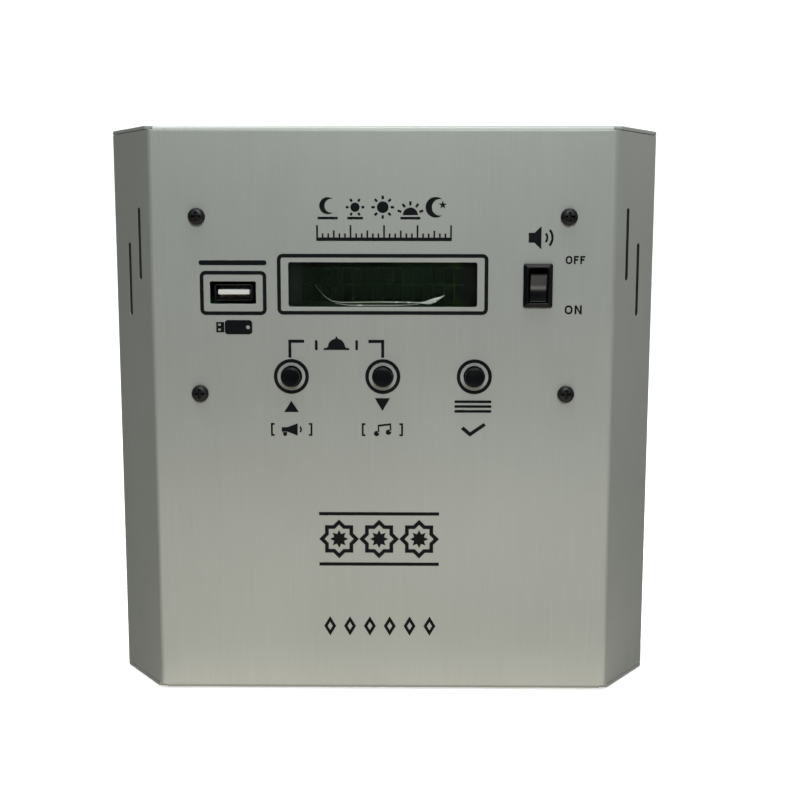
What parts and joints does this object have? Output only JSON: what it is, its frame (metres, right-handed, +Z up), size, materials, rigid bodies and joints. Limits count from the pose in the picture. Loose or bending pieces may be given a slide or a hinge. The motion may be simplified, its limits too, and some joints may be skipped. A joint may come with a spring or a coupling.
{
  "type": "azan clock",
  "caption": "Azan clock in a folded aluminium case with slanted vented sides, a text display, round push buttons, a rocker switch and a USB socket in front.",
  "frame": {"origin": "middle of the case's flat underside, halfway between the face and the back of the case", "axes": "+X to the right seen from the front, +Y to the back, +Z up; the face looks along -Y"},
  "size_m": [0.2002, 0.073, 0.2],
  "materials": {
    "case_sheet": "satin, faint vertical brushing",
    "black_screws": "black oxide, satin",
    "window_plastic": "clear",
    "display_glass": "dark green black display glass",
    "black_metal": "black, satin",
    "white_plastic": "white, matt",
    "board_blue": "solder mask, satin",
    "board_green": "solder mask, satin",
    "black_plastic": "black, matt",
    "key_plastic": "black, half gloss",
    "rocker_plastic": "black, half gloss",
    "nickel": "nickel plate",
    "core_steel": "dark steel",
    "winding_tape": "amber tape",
    "cone_paper": "dark paper cone",
    "fuse_glass": "clear tube with metal ends",
    "capacitor_sleeve": "dark blue sleeve",
    "ribbon_grey": "grey insulation",
    "wire_red": "red insulation",
    "wire_blue": "blue insulation"
  },
  "bodies": {
    "case": {"front_cover": "case_sheet", "rear_cover": "case_sheet", "rear_cover_screw_1": "black_screws", "rear_cover_screw_2": "black_screws", "rear_cover_screw_3": "black_screws", "rear_cover_screw_4": "black_screws", "panel_screw_1": "black_screws", "panel_screw_2": "black_screws", "panel_screw_3": "black_screws", "panel_screw_4": "black_screws", "control_board": "board_green", "display_window": "window_plastic", "lcd_bezel": "black_metal", "lcd_glass": "display_glass", "lcd_backlight": "white_plastic", "lcd_board": "board_blue", "lcd_pin_header": "black_plastic", "up_switch_body": "black_plastic", "down_switch_body": "black_plastic", "menu_switch_body": "black_plastic", "usb_shell": "nickel", "usb_insulator": "white_plastic", "rocker_housing": "rocker_plastic", "speaker_frame": "black_metal", "speaker_cone": "cone_paper", "speaker_magnet": "core_steel", "audio_socket_left": "nickel", "audio_socket_right": "nickel", "audio_socket_block": "black_plastic", "mains_inlet": "black_plastic", "main_board": "board_green", "transformer_core": "core_steel", "transformer_bobbin": "black_plastic", "transformer_winding": "winding_tape", "fuse": "fuse_glass", "fuse_holder": "nickel", "capacitor_1": "capacitor_sleeve", "capacitor_2": "capacitor_sleeve", "capacitor_3": "capacitor_sleeve", "regulator": "black_plastic", "heatsink": "black_metal", "microcontroller": "black_plastic", "audio_decoder": "black_plastic", "battery_holder": "black_plastic", "coin_cell": "nickel", "control_header": "black_plastic", "main_header": "black_plastic", "ribbon_cable": "ribbon_grey", "mains_lead": "wire_blue", "audio_lead": "wire_red", "speaker_lead": "wire_red", "switch_lead": "wire_red"},
    "up_key": {"up_button": "key_plastic", "up_plunger": "white_plastic"},
    "down_key": {"down_button": "key_plastic", "down_plunger": "white_plastic"},
    "menu_key": {"menu_button": "key_plastic", "menu_plunger": "white_plastic"},
    "monitor_rocker": {"rocker_actuator": "rocker_plastic"}
  },
  "joints": [
    {"name": "up_press", "type": "slide", "parent": "case", "child": "up_key", "axis": [0, 1, 0], "range_m": [0, 0.0015], "stiffness_N_per_m": 800},
    {"name": "down_press", "type": "slide", "parent": "case", "child": "down_key", "axis": [0, 1, 0], "range_m": [0, 0.0015], "stiffness_N_per_m": 800},
    {"name": "menu_press", "type": "slide", "parent": "case", "child": "menu_key", "axis": [0, 1, 0], "range_m": [0, 0.0015], "stiffness_N_per_m": 800},
    {"name": "monitor_switch", "type": "hinge", "parent": "case", "child": "monitor_rocker", "pos_m": [0.05365, -0.0281, 0.1458], "axis": [-1, 0, 0], "range_deg": [0, 24]}
  ]
}
